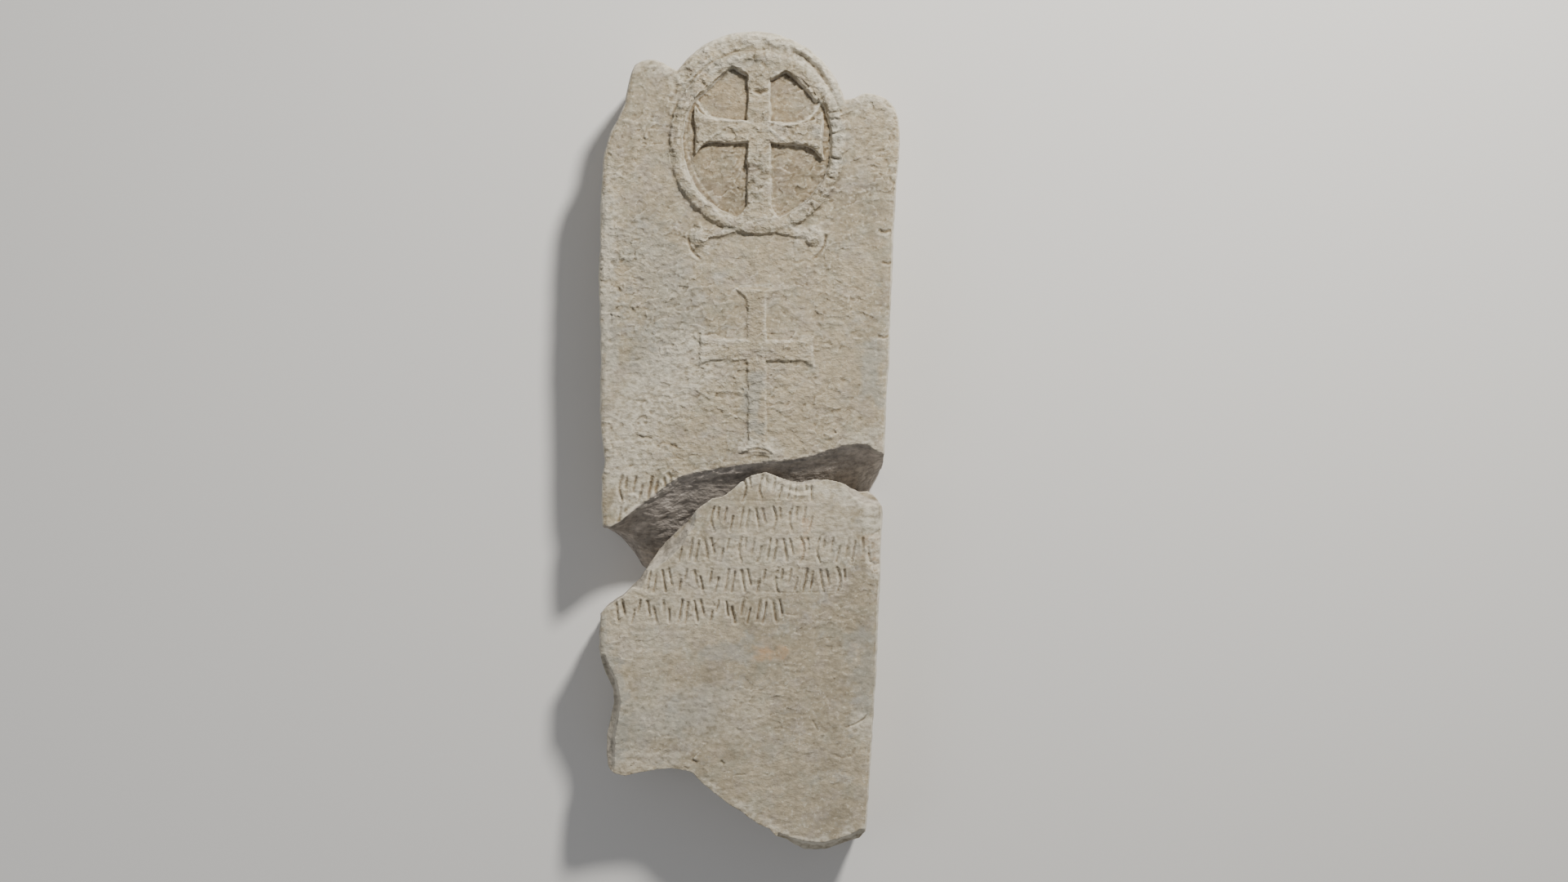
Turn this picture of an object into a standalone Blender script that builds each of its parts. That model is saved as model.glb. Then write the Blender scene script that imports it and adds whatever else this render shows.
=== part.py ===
"""Two fragments of an early Christian funerary stele, lying on their backs, face up.

The slab is one flat stone with an arched head between two small shoulders. It broke across the
inscription, so it is two solids: the head fragment and the foot fragment. The break slopes: its edge
on the back lies nearer the foot than its edge on the face, and the foot fragment's break follows it.

Metres. +X is the stele's right as one reads it, +Y runs from the foot to the head, and +Z is the face
normal. The back lies on z = 0. Free outlines are shares of the stele's width (u, from its middle) and
of its length (v, from the tip of the foot). Carving is in metres from the top of the arch or the foot.
"""

import math

import bmesh
import bpy
from mathutils import Vector

# The slab
STELE_LENGTH = 1.218
STELE_WIDTH = 0.448
THICKNESS = 0.130
ARRIS = 0.008
ARRIS_STEPS = 2
BACK_CHAMFER = 0.006

# The arched head, and the angles where its arc meets the shoulders
ARCH_RADIUS = 0.140
ARCH_OFFSET = 0.0075
ARCH_START_DEG = 15.9
ARCH_END_DEG = 144.3
ARCH_STEPS = 22

# The wreath, a raised ring that is a little taller than it is wide, around a sunk field
RING_RADIUS = 0.121
RING_STRETCH = 1.045
RING_BAND = 0.021
RING_HEIGHT = 0.0065
RING_DROP = 0.1665
RING_OFFSET = 0.0125
RING_STEPS = 60
FIELD_DEPTH = 0.0035
FIELD_LIP = 0.004

# The cross inside the wreath
WREATH_CROSS_HEIGHT = 0.0055
WREATH_CROSS_ARM = 0.033
WREATH_CROSS_BAR = 0.032
WREATH_CROSS_RISE = 0.015
WREATH_CROSS_UP = 0.106
WREATH_CROSS_SIDE = 0.094
WREATH_CROSS_DOWN = 0.136
WREATH_CROSS_OFFSET = 0.003
WREATH_CROSS_FLARE = 0.026
WREATH_CROSS_SPREAD_SIDE = 0.020
WREATH_CROSS_SPREAD_UP = 0.024
WREATH_CROSS_SPREAD_DOWN = 0.030
WREATH_CROSS_SLOPE = 0.045

# The ribbons that leave the foot of the wreath, and the knobs at their ends
RIBBON_WIDTH = 0.012
RIBBON_HEIGHT = 0.0045
RIBBON_START = 0.030
RIBBON_REACH = 0.084
RIBBON_FALL = 0.014
RIBBON_LAP = 0.002
RIBBON_SAG = 0.003
KNOB_LENGTH = 0.038
KNOB_WIDTH = 0.027
KNOB_HEIGHT = 0.007
KNOB_SINK = 0.004

# The tall cross below the wreath
TALL_CROSS_DROP = 0.4745
TALL_CROSS_OFFSET = 0.0125
TALL_CROSS_HEIGHT = 0.0040
TALL_CROSS_ARM = 0.0275
TALL_CROSS_BAR = 0.0305
TALL_CROSS_UP = 0.090
TALL_CROSS_SIDE = 0.084
TALL_CROSS_DOWN = 0.152
TALL_CROSS_FLARE = 0.018
TALL_CROSS_SPREAD_SIDE = 0.008
TALL_CROSS_SPREAD_UP = 0.018
TALL_CROSS_SPREAD_DOWN = 0.013
TALL_CROSS_SLOPE = 0.020

# The inscription: rows of strokes that are no letters
ROW_TOP = 0.634
ROW_PITCH = 0.0456
ROW_HEIGHT = 0.036
CELL_WIDTH = 0.022
STROKE_WIDTH = 0.0050
STROKE_DEPTH = 0.0026
STROKE_RISE = 0.0004
STROKE_MARGIN = 0.003

# The break
JOINT_GAP = 0.0040
BREAK_ROUGHNESS = 0.0030

# How far blanks and cutters run past what they cut, and how deep raised carving is rooted
OVERRUN = 0.060
ROOT = 0.012
RELIEF_EDGE = 0.0018

STONE = (0.62, 0.56, 0.46, 1.0)
STONE_DARK = (0.55, 0.50, 0.41, 1.0)

# Outlines, as (u, v) shares
LEFT_SHOULDER = [
    (-0.287, 0.962), (-0.328, 0.965), (-0.375, 0.959), (-0.396, 0.941),
    (-0.413, 0.910), (-0.456, 0.877), (-0.481, 0.846),
]
LEFT_EDGE_HEAD = [
    (-0.489, 0.803), (-0.496, 0.700), (-0.492, 0.598), (-0.492, 0.537), (-0.488, 0.506),
    (-0.476, 0.476), (-0.488, 0.455), (-0.490, 0.425), (-0.486, 0.398),
]
RIGHT_SHOULDER = [
    (0.502, 0.867), (0.497, 0.894), (0.473, 0.912), (0.432, 0.922), (0.388, 0.924), (0.353, 0.918),
]
RIGHT_EDGE_HEAD = [
    (0.451, 0.483), (0.455, 0.516), (0.465, 0.593), (0.475, 0.700), (0.483, 0.775), (0.493, 0.826),
]
LEFT_EDGE_FOOT = [
    (-0.492, 0.290), (-0.495, 0.269), (-0.499, 0.249), (-0.490, 0.234), (-0.473, 0.213),
    (-0.452, 0.198), (-0.449, 0.180), (-0.462, 0.157), (-0.473, 0.139), (-0.473, 0.116), (-0.466, 0.102),
]
RIGHT_EDGE_FOOT = [
    (0.389, 0.022), (0.399, 0.075), (0.411, 0.149), (0.424, 0.221), (0.434, 0.321), (0.443, 0.397),
]

# The break's edge on the head fragment's face and back, and on the foot fragment's face
HEAD_BREAK_FACE = [
    (-0.486, 0.398), (-0.459, 0.395), (-0.418, 0.404), (-0.369, 0.420), (-0.307, 0.435), (-0.263, 0.449),
    (-0.222, 0.458), (-0.159, 0.464), (-0.083, 0.468), (0.007, 0.473), (0.091, 0.477), (0.159, 0.479),
    (0.222, 0.484), (0.263, 0.489), (0.298, 0.493), (0.361, 0.496), (0.396, 0.495), (0.421, 0.488),
    (0.451, 0.483),
]
HEAD_BREAK_BACK = [
    (-0.491, 0.391), (-0.470, 0.386), (-0.448, 0.380), (-0.420, 0.369), (-0.398, 0.359), (-0.385, 0.351),
    (-0.372, 0.342), (-0.330, 0.330), (-0.250, 0.323), (-0.120, 0.330), (0.020, 0.347), (0.160, 0.366),
    (0.290, 0.388), (0.370, 0.412), (0.412, 0.438), (0.434, 0.452), (0.448, 0.463), (0.4515, 0.474),
]
FOOT_BREAK_FACE = [
    (-0.500, 0.284), (-0.492, 0.290), (-0.473, 0.298), (-0.432, 0.308), (-0.389, 0.321), (-0.361, 0.331),
    (-0.349, 0.341), (-0.337, 0.349), (-0.313, 0.367), (-0.302, 0.379), (-0.279, 0.392), (-0.230, 0.406),
    (-0.159, 0.421), (-0.119, 0.430), (-0.083, 0.433), (-0.048, 0.443), (-0.015, 0.454), (0.020, 0.460),
    (0.056, 0.462), (0.091, 0.458), (0.132, 0.455), (0.173, 0.453), (0.215, 0.456), (0.263, 0.453),
    (0.320, 0.449), (0.361, 0.441), (0.396, 0.439), (0.426, 0.430), (0.440, 0.421), (0.447, 0.400),
]
FOOT_TIP_FACE = [
    (-0.470, 0.108), (-0.461, 0.099), (-0.446, 0.095), (-0.410, 0.092), (-0.356, 0.096), (-0.307, 0.100),
    (-0.257, 0.101), (-0.208, 0.099), (-0.181, 0.096), (-0.154, 0.084), (-0.119, 0.072), (-0.063, 0.057),
    (-0.020, 0.047), (0.034, 0.033), (0.069, 0.027), (0.091, 0.018), (0.132, 0.013), (0.168, 0.005),
    (0.187, 0.000), (0.249, 0.000), (0.312, 0.008), (0.368, 0.014), (0.389, 0.022),
]
# How the break falls from face to back: share of the depth, share of the fall. It has one flat ledge.
BREAK_FALL = [
    (0, 0), (0.12, 0.10), (0.30, 0.31), (0.50, 0.52), (0.66, 0.68), (0.76, 0.71), (0.90, 0.90), (1, 1),
]
FOOT_FALL = [(0, 0), (0.25, 0.3), (0.5, 0.6), (0.75, 0.8), (1, 1)]
FOOT_UNDERCUT = 0.004

# A spall's section, as shares of its run and of its drop
SPALL_SECTION = [(-0.3, 0.3), (0.45, -0.62), (2.2, -1.7), (2.2, 0.3)]

# Spalls on the arrises: a line on the face, with the stone cut away on its left, and its run and drop
LEFT_SPALL = [
    (-0.352, 0.318), (-0.328, 0.341), (-0.300, 0.348), (-0.268, 0.357), (-0.222, 0.374), (-0.178, 0.396),
    (-0.154, 0.420),
]
RIGHT_SPALL = [(0.300, 0.450), (0.325, 0.440), (0.367, 0.426), (0.400, 0.420), (0.450, 0.419)]
MIDDLE_SPALL = [(0.080, 0.458), (0.120, 0.448), (0.180, 0.446), (0.240, 0.449), (0.262, 0.455)]
TIP_SPALL = [(0.400, 0.033), (0.330, 0.020), (0.249, 0.011), (0.187, 0.013), (0.100, 0.024)]
EDGE_SPALL = [(-0.444, 0.098), (-0.443, 0.140), (-0.424, 0.180), (-0.436, 0.208), (-0.474, 0.240)]
SPALLS = {
    "BreakLeft": (LEFT_SPALL, 0.026, 0.036),
    "BreakRight": (RIGHT_SPALL, 0.022, 0.015),
    "BreakMiddle": (MIDDLE_SPALL, 0.014, 0.008),
    "Tip": (TIP_SPALL, 0.010, 0.016),
    "LeftEdge": (EDGE_SPALL, 0.010, 0.020),
}


def at(share):
    """A (u, v) share as a place on the slab, in metres."""
    return share[0] * STELE_WIDTH, share[1] * STELE_LENGTH


def smooth_run(shares, steps=2):
    """Places along a smooth curve through the shares, by Catmull-Rom."""
    points = [Vector(at(share)) for share in shares]
    padded = [points[0] * 2 - points[1], *points, points[-1] * 2 - points[-2]]
    run = []
    for before, start, end, after in zip(padded, padded[1:], padded[2:], padded[3:]):
        for step in range(steps):
            t = step / steps
            run.append(tuple(0.5 * (
                2 * start + (end - before) * t
                + (2 * before - 5 * start + 4 * end - after) * t ** 2
                + (3 * start - before - 3 * end + after) * t ** 3
            )))
    return [*run, tuple(points[-1])]


def arch_run():
    """The arc of the head, from the right shoulder to the left one."""
    places = []
    for step in range(ARCH_STEPS + 1):
        angle = math.radians(ARCH_START_DEG + (ARCH_END_DEG - ARCH_START_DEG) * step / ARCH_STEPS)
        places.append((
            ARCH_OFFSET + ARCH_RADIUS * math.cos(angle),
            STELE_LENGTH - ARCH_RADIUS + ARCH_RADIUS * math.sin(angle),
        ))
    return places


def value_at(line, place):
    """The second value of a line of pairs, at a place between its first values."""
    for (start, low), (end, high) in zip(line, line[1:]):
        if place <= end:
            share = max(0.0, (place - start) / (end - start))
            return low + (high - low) * share
    return line[-1][1]


def finish_mesh(name, bm, colour=STONE):
    """An object from a bmesh, with its normals out and a stone material."""
    bmesh.ops.recalc_face_normals(bm, faces=bm.faces)
    mesh = bpy.data.meshes.new(name)
    bm.to_mesh(mesh)
    bm.free()
    thing = bpy.data.objects.new(name, mesh)
    bpy.context.collection.objects.link(thing)
    material = bpy.data.materials.new(name)
    material.use_nodes = True
    shader = material.node_tree.nodes["Principled BSDF"]
    shader.inputs["Base Color"].default_value = colour
    shader.inputs["Roughness"].default_value = 0.9
    shader.inputs["Metallic"].default_value = 0.0
    mesh.materials.append(material)
    return thing


def tool(name, bm):
    """An operand of a Boolean, which isn't part of the model."""
    thing = finish_mesh(name, bm)
    thing.hide_render = True
    thing.display_type = "WIRE"
    return thing


def combine(target, operand, operation):
    modifier = target.modifiers.new(operand.name, "BOOLEAN")
    modifier.operation = operation
    modifier.object = operand


def prism(outline, low, high, edge=0.0, steps=1, back_edge=0.0):
    """A closed prism on an outline, its upper and lower edges rounded or chamfered."""
    bm = bmesh.new()
    base = bm.faces.new([bm.verts.new((x, y, low)) for x, y in outline])
    bmesh.ops.recalc_face_normals(bm, faces=[base])
    extruded = bmesh.ops.extrude_face_region(bm, geom=[base], use_keep_orig=True)["geom"]
    top = [part for part in extruded if isinstance(part, bmesh.types.BMVert)]
    bmesh.ops.translate(bm, verts=top, vec=(0, 0, high - low))
    for level, width, count in ((high, edge, steps), (low, back_edge, 1)):
        if width:
            rim = [e for e in bm.edges if all(abs(v.co.z - level) < 1e-7 for v in e.verts)]
            bmesh.ops.bevel(
                bm, geom=rim, offset=width, segments=count, profile=0.5, affect="EDGES", clamp_overlap=True
            )
    return bm


def break_sheet(face_line, back_line, fall, roughness, toward):
    """A cutter bounded by a break: the sheet from face to back, carried on towards +Y or -Y."""
    stations = sorted({u for u, _ in face_line} | {u for u, _ in back_line})
    stations = [u for i, u in enumerate(stations) if i == 0 or u - stations[i - 1] > 0.004]
    spare = OVERRUN / STELE_WIDTH
    stations = [stations[0] - spare, *stations, stations[-1] + spare]
    depths = [(-0.3, 0.0), *fall, (1.3, 1.0)]
    bm = bmesh.new()
    rows = []
    for depth, fallen in depths:
        row = []
        for u in stations:
            v = value_at(face_line, u) * (1 - fallen) + value_at(back_line, u) * fallen
            x, y = at((u, v))
            y += roughness * surface_wave(u, depth)
            row.append(bm.verts.new((x, y, THICKNESS * (1 - depth))))
        rows.append(row)
    for row, following in zip(rows, rows[1:]):
        for i in range(len(stations) - 1):
            bm.faces.new((row[i], row[i + 1], following[i + 1], following[i]))
    sheet = bm.faces[:]
    moved = bmesh.ops.extrude_face_region(bm, geom=sheet, use_keep_orig=True)["geom"]
    far = STELE_LENGTH + OVERRUN if toward > 0 else -OVERRUN
    for part in moved:
        if isinstance(part, bmesh.types.BMVert):
            part.co.y = far
    return bm


def surface_wave(u, depth):
    """The fracture's waves, which die out at the face and at the back."""
    fade = math.sin(math.pi * min(max(depth, 0.0), 1.0))
    return fade * (
        0.6 * math.sin(17.0 * u + 5.0 * depth)
        + 0.5 * math.sin(41.0 * u - 9.0 * depth + 1.0)
        + 0.4 * math.cos(73.0 * u + 14.0 * depth)
    )


def spall(shares, run, drop):
    """A cutter that takes a flake off an arris, on the left of a line on the face. Its ends taper out."""
    places = [Vector(at(share)) for share in shares]
    last = len(places) - 1
    bm = bmesh.new()
    sections = []
    for i, place in enumerate(places):
        along = (places[min(i + 1, last)] - places[max(i - 1, 0)]).normalized()
        out = Vector((-along.y, along.x))
        size = 0.25 + 0.75 * math.sin(math.pi * (i + 0.35) / (last + 0.7))
        section = []
        for side, rise in SPALL_SECTION:
            spot = place + out * side * run
            depth = drop * rise * size if rise < 0 else drop * rise
            section.append(bm.verts.new((spot.x, spot.y, THICKNESS + depth)))
        sections.append(section)
    bm.faces.new(sections[0])
    bm.faces.new(reversed(sections[-1]))
    for section, following in zip(sections, sections[1:]):
        for j in range(len(section)):
            k = (j + 1) % len(section)
            bm.faces.new((section[j], following[j], following[k], section[k]))
    return bm


def ring_band(centre, radius, stretch, band, height, steps):
    """A raised ring with a worn, rounded top, rooted in the slab."""
    half = band / 2
    section = (
        (-half, -ROOT), (-half, 0.0), (-0.72 * half, 0.75 * height), (-0.30 * half, height),
        (0.30 * half, height), (0.72 * half, 0.75 * height), (half, 0.0), (half, -ROOT),
    )
    bm = bmesh.new()
    loops = []
    for step in range(steps):
        angle = 2 * math.pi * step / steps
        loop = []
        for side, rise in section:
            x = centre[0] + (radius + side) * math.cos(angle)
            y = centre[1] + (radius + side) * stretch * math.sin(angle)
            loop.append(bm.verts.new((x, y, THICKNESS + rise)))
        loops.append(loop)
    for i, loop in enumerate(loops):
        following = loops[(i + 1) % steps]
        for j in range(len(section)):
            k = (j + 1) % len(section)
            bm.faces.new((loop[j], loop[k], following[k], following[j]))
    return bm


def disc(centre, radius, stretch, depth, lip):
    """A shallow dish that sinks the field inside the ring."""
    bm = bmesh.new()
    levels = ((radius + lip, THICKNESS + lip), (radius - lip, THICKNESS - depth))
    loops = []
    for reach, level in levels:
        loop = []
        for step in range(RING_STEPS):
            angle = 2 * math.pi * (step + 0.5) / RING_STEPS
            loop.append(bm.verts.new((
                centre[0] + reach * math.cos(angle),
                centre[1] + reach * stretch * math.sin(angle),
                level,
            )))
        loops.append(loop)
    bm.faces.new(loops[0])
    bm.faces.new(reversed(loops[1]))
    for i in range(RING_STEPS):
        j = (i + 1) % RING_STEPS
        bm.faces.new((loops[0][i], loops[1][i], loops[1][j], loops[0][j]))
    return bm


def cross_outline(centre, arms, slope):
    """A cross with arms that flare. Each arm is (length, half width, flared half width, flare)."""
    directions = [Vector((1, 0)), Vector((0, 1)), Vector((-1, 0)), Vector((0, -1))]
    flare_steps = 4
    outline = []
    for k, (length, half, flared, flare) in enumerate(arms):
        along = directions[k]
        right = directions[k - 1]
        before_half = arms[k - 1][1]
        outline.append(right * half + along * before_half)
        side = []
        for step in range(flare_steps + 1):
            share = step / flare_steps
            side.append((length - flare * (1 - share), half + (flared - half) * share ** 1.8))
        outline += [along * reach + right * width for reach, width in side]
        outline += [along * reach - right * width for reach, width in reversed(side)]
    return [(centre[0] + p.x, centre[1] + p.y - slope * p.x) for p in outline]


def knob_centre(side):
    """Where a ribbon ends, in its knob."""
    centre = ring_centre()
    foot = centre[1] - RING_RADIUS * RING_STRETCH + RIBBON_LAP
    return centre[0] + side * RIBBON_REACH, foot - RIBBON_FALL


def ribbon(side):
    """A ribbon that leaves the ring's foot and falls outwards, to the left for -1 and the right for 1."""
    centre = ring_centre()
    outer = Vector(knob_centre(side))
    inner = Vector((centre[0] + side * RIBBON_START, outer.y + RIBBON_FALL))
    middle = inner * 0.55 + outer * 0.45 - Vector((0, RIBBON_SAG))
    half = RIBBON_WIDTH / 2
    upper = [(p.x, p.y + half * width) for p, width in ((inner, 1.6), (middle, 1.1), (outer, 0.9))]
    lower = [(p.x, p.y - half * width) for p, width in ((outer, 0.9), (middle, 1.1), (inner, 1.6))]
    outline = upper + lower
    if side > 0:
        outline.reverse()
    return prism(outline, THICKNESS - ROOT, THICKNESS + RIBBON_HEIGHT, RELIEF_EDGE)


def knob(side):
    """The leaf-like knob on the end of a ribbon: a flattened ball."""
    bm = bmesh.new()
    bmesh.ops.create_uvsphere(bm, u_segments=14, v_segments=8, radius=1.0)
    bmesh.ops.scale(bm, verts=bm.verts, vec=(KNOB_WIDTH / 2, KNOB_LENGTH / 2, KNOB_HEIGHT + KNOB_SINK))
    bmesh.ops.translate(bm, verts=bm.verts, vec=(*knob_centre(side), THICKNESS - KNOB_SINK))
    return bm


def ribbon_tail(side):
    """The incised curl under a ribbon's knob."""
    x, y = knob_centre(side)
    curl = ((0.65, 0.00), (0.59, -0.37), (0.35, -0.68), (-0.04, -0.90))
    return [(x + side * out * KNOB_WIDTH, y + up * KNOB_LENGTH) for out, up in curl]


def add_groove(bm, path, width, depth):
    """A closed V-shaped cutter along a path, with pointed ends. It is width wide at the face."""
    top = THICKNESS + STROKE_RISE
    spread = (depth + STROKE_RISE) / depth
    spots = [Vector(p) for p in path]
    start, end = spots[0], spots[-1]
    taper = min(width, 0.3 * (spots[1] - start).length)
    first, last = (spots[1] - start).normalized() * taper, (end - spots[-2]).normalized() * taper
    body = [start + first, *spots[1:-1], end - last]
    loops = []
    for i, spot in enumerate(body):
        before, after = body[max(i - 1, 0)], body[min(i + 1, len(body) - 1)]
        along = (after - before).normalized()
        side = Vector((-along.y, along.x)) * spread * width / 2
        loops.append([
            bm.verts.new((spot.x + side.x, spot.y + side.y, top)),
            bm.verts.new((spot.x, spot.y, THICKNESS - depth)),
            bm.verts.new((spot.x - side.x, spot.y - side.y, top)),
        ])
    caps = [bm.verts.new((p.x, p.y, top)) for p in (start - first * 0.3, end + last * 0.3)]
    for loop, following in zip(loops, loops[1:]):
        for j in range(3):
            k = (j + 1) % 3
            bm.faces.new((loop[j], loop[k], following[k], following[j]))
    for j in range(3):
        k = (j + 1) % 3
        bm.faces.new((loops[0][k], loops[0][j], caps[0]))
        bm.faces.new((loops[-1][j], loops[-1][k], caps[1]))


def mark_paths(kind):
    """The strokes of one mark in its own cell, in shares of it. They stand apart and form no letter."""
    bow = [(0.10 - 0.22 * math.sin(math.pi * t), 1 - t) for t in (0, 0.25, 0.5, 0.75, 1)]
    marks = (
        [[(-0.06, 1.00), (-0.34, 0.06)], [(0.34, 0.90), (0.10, 0.02)]],
        [[(-0.32, 0.94), (-0.18, 0.30)], [(0.06, 0.70), (0.30, 0.00)]],
        [[(x - 0.05, y) for x, y in bow], [(0.36, 1.00), (0.26, 0.50)]],
        [[(-0.34, 0.96), (-0.10, 0.04)], [(0.08, 1.00), (0.32, 0.30)]],
        [[(-0.26, 1.00), (-0.22, 0.40)], [(0.12, 0.62), (0.16, 0.00)]],
        [[(-0.14, 1.00), (-0.34, 0.34)], [(0.30, 0.66), (0.06, 0.00)]],
        [[(0.32, 0.98), (0.12, 0.46)], [(-0.08, 0.56), (-0.32, 0.00)]],
        [[(-0.10 - x, y) for x, y in bow], [(0.28, 0.98), (0.34, 0.50)]],
    )
    return marks[kind % len(marks)]


def row_strokes(bm, row, start_u, end_u, seed, clear_of):
    """Cuts one row of marks. clear_of says whether a place on the face is whole enough to carve."""
    base = STELE_LENGTH - ROW_TOP - row * ROW_PITCH
    x = start_u * STELE_WIDTH + CELL_WIDTH / 2
    count = 0
    while x < end_u * STELE_WIDTH - CELL_WIDTH / 3:
        for path in mark_paths(seed + count * 3 + count // 4):
            places = [(x + a * CELL_WIDTH, base + (b - 0.5) * ROW_HEIGHT) for a, b in path]
            if clear_of(places[0]) or clear_of(places[-1]):
                add_groove(bm, places, STROKE_WIDTH, STROKE_DEPTH)
        x += CELL_WIDTH * (1.06 + 0.06 * math.sin(2.3 * count + seed))
        count += 1


def above_break(place):
    """True above the break's edge on the head fragment's face."""
    return place[1] - STROKE_MARGIN > value_at(HEAD_BREAK_FACE, place[0] / STELE_WIDTH) * STELE_LENGTH


def below_break(place):
    """True below the break's edge on the foot fragment's face, and clear of its left spall."""
    u = place[0] / STELE_WIDTH
    on_spall = LEFT_SPALL[0][0] < u < LEFT_SPALL[-1][0]
    edge = value_at(LEFT_SPALL if on_spall else FOOT_BREAK_FACE, u)
    return place[1] + STROKE_MARGIN < edge * STELE_LENGTH


def ring_centre():
    return RING_OFFSET, STELE_LENGTH - RING_DROP


def make_head():
    """The head fragment: arch, shoulders, wreath, crosses and the first marks of the inscription."""
    low_v = min(v for _, v in HEAD_BREAK_BACK) - OVERRUN / STELE_LENGTH
    left, right = smooth_run(LEFT_SHOULDER), smooth_run(RIGHT_SHOULDER)
    outline = [
        at((RIGHT_EDGE_HEAD[0][0], low_v)), *map(at, RIGHT_EDGE_HEAD), *right, *arch_run(), *left,
        *map(at, LEFT_EDGE_HEAD), at((LEFT_EDGE_HEAD[-1][0], low_v)),
    ]
    blank = prism(outline, 0.0, THICKNESS, ARRIS, ARRIS_STEPS, BACK_CHAMFER)
    head = finish_mesh("head_fragment", blank, STONE)

    centre = ring_centre()
    combine(head, tool("FieldCut", disc(
        centre, RING_RADIUS - RING_BAND / 2 + FIELD_LIP, RING_STRETCH, FIELD_DEPTH, FIELD_LIP
    )), "DIFFERENCE")
    combine(head, tool("WreathRing", ring_band(
        centre, RING_RADIUS, RING_STRETCH, RING_BAND, RING_HEIGHT, RING_STEPS
    )), "UNION")

    arm, bar, flare = WREATH_CROSS_ARM / 2, WREATH_CROSS_BAR / 2, WREATH_CROSS_FLARE
    arms = (
        (WREATH_CROSS_SIDE, bar, bar + WREATH_CROSS_SPREAD_SIDE, flare),
        (WREATH_CROSS_UP, arm, arm + WREATH_CROSS_SPREAD_UP, flare * 0.9),
        (WREATH_CROSS_SIDE, bar, bar + WREATH_CROSS_SPREAD_SIDE, flare),
        (WREATH_CROSS_DOWN, arm, arm + WREATH_CROSS_SPREAD_DOWN, flare * 1.1),
    )
    middle = (centre[0] + WREATH_CROSS_OFFSET, centre[1] + WREATH_CROSS_RISE)
    outline = cross_outline(middle, arms, WREATH_CROSS_SLOPE)
    combine(head, tool("WreathCross", prism(
        outline, THICKNESS - ROOT, THICKNESS + WREATH_CROSS_HEIGHT, RELIEF_EDGE
    )), "UNION")

    for label, side in (("Left", -1), ("Right", 1)):
        combine(head, tool("Ribbon" + label, ribbon(side)), "UNION")
        combine(head, tool("Knob" + label, knob(side)), "UNION")

    arm, bar, flare = TALL_CROSS_ARM / 2, TALL_CROSS_BAR / 2, TALL_CROSS_FLARE
    arms = (
        (TALL_CROSS_SIDE, bar, bar + TALL_CROSS_SPREAD_SIDE, flare),
        (TALL_CROSS_UP, arm, arm + TALL_CROSS_SPREAD_UP, flare),
        (TALL_CROSS_SIDE, bar, bar + TALL_CROSS_SPREAD_SIDE, flare),
        (TALL_CROSS_DOWN, arm, arm + TALL_CROSS_SPREAD_DOWN, flare),
    )
    middle = (TALL_CROSS_OFFSET, STELE_LENGTH - TALL_CROSS_DROP)
    outline = cross_outline(middle, arms, TALL_CROSS_SLOPE)
    combine(head, tool("TallCross", prism(
        outline, THICKNESS - ROOT, THICKNESS + TALL_CROSS_HEIGHT, RELIEF_EDGE
    )), "UNION")

    combine(head, tool("HeadBreak", break_sheet(
        HEAD_BREAK_FACE, HEAD_BREAK_BACK, BREAK_FALL, BREAK_ROUGHNESS, -1
    )), "DIFFERENCE")

    strokes = bmesh.new()
    row_strokes(strokes, 1, -0.445, -0.225, 2, above_break)
    row_strokes(strokes, 2, -0.440, -0.360, 5, above_break)
    for side in (-1, 1):
        add_groove(strokes, ribbon_tail(side), STROKE_WIDTH, STROKE_DEPTH)
    combine(head, tool("HeadStrokes", strokes), "DIFFERENCE")
    return head


def make_foot():
    """The foot fragment: the rest of the inscription, the broken left edge and the broken tip."""
    high_v = max(v for _, v in FOOT_BREAK_FACE) + OVERRUN / STELE_LENGTH
    low_v = -OVERRUN / STELE_LENGTH
    outline = [
        at((RIGHT_EDGE_FOOT[0][0], low_v)), *map(at, RIGHT_EDGE_FOOT), at((RIGHT_EDGE_FOOT[-1][0], high_v)),
        at((LEFT_EDGE_FOOT[0][0], high_v)), *map(at, LEFT_EDGE_FOOT), at((LEFT_EDGE_FOOT[-1][0], low_v)),
    ]
    blank = prism(outline, 0.0, THICKNESS, ARRIS, ARRIS_STEPS, BACK_CHAMFER)
    foot = finish_mesh("foot_fragment", blank, STONE_DARK)

    gap = JOINT_GAP / STELE_LENGTH
    stations = sorted({u for u, _ in HEAD_BREAK_BACK} | {u for u, _ in FOOT_BREAK_FACE})
    back = [(u, min(value_at(HEAD_BREAK_BACK, u), value_at(FOOT_BREAK_FACE, u)) - gap) for u in stations]
    combine(foot, tool("FootBreak", break_sheet(
        FOOT_BREAK_FACE, back, BREAK_FALL, BREAK_ROUGHNESS, 1
    )), "DIFFERENCE")

    undercut = FOOT_UNDERCUT / STELE_LENGTH
    tip_back = [(u, v + undercut) for u, v in FOOT_TIP_FACE]
    combine(foot, tool("FootTip", break_sheet(
        FOOT_TIP_FACE, tip_back, FOOT_FALL, BREAK_ROUGHNESS, -1
    )), "DIFFERENCE")

    for name, (line, run, drop) in SPALLS.items():
        combine(foot, tool("Spall" + name, spall(line, run, drop)), "DIFFERENCE")

    strokes = bmesh.new()
    for row, (start_u, end_u) in enumerate(
        ((-0.035, 0.240), (-0.140, 0.250), (-0.260, 0.420), (-0.345, 0.340), (-0.450, 0.130)), start=1
    ):
        row_strokes(strokes, row, start_u, end_u, 4 + 3 * row, below_break)
    combine(foot, tool("FootStrokes", strokes), "DIFFERENCE")
    return foot


def centre_on_origin(things):
    """Puts the middle of the whole object's footprint on the origin, by moving each object."""
    graph = bpy.context.evaluated_depsgraph_get()
    corners = []
    for thing in things:
        shown = thing.evaluated_get(graph)
        corners += [shown.matrix_world @ Vector(corner) for corner in shown.bound_box]
    shift = [-(min(c[i] for c in corners) + max(c[i] for c in corners)) / 2 for i in (0, 1)]
    for thing in bpy.data.objects:
        thing.location = (shift[0], shift[1], 0.0)


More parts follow.
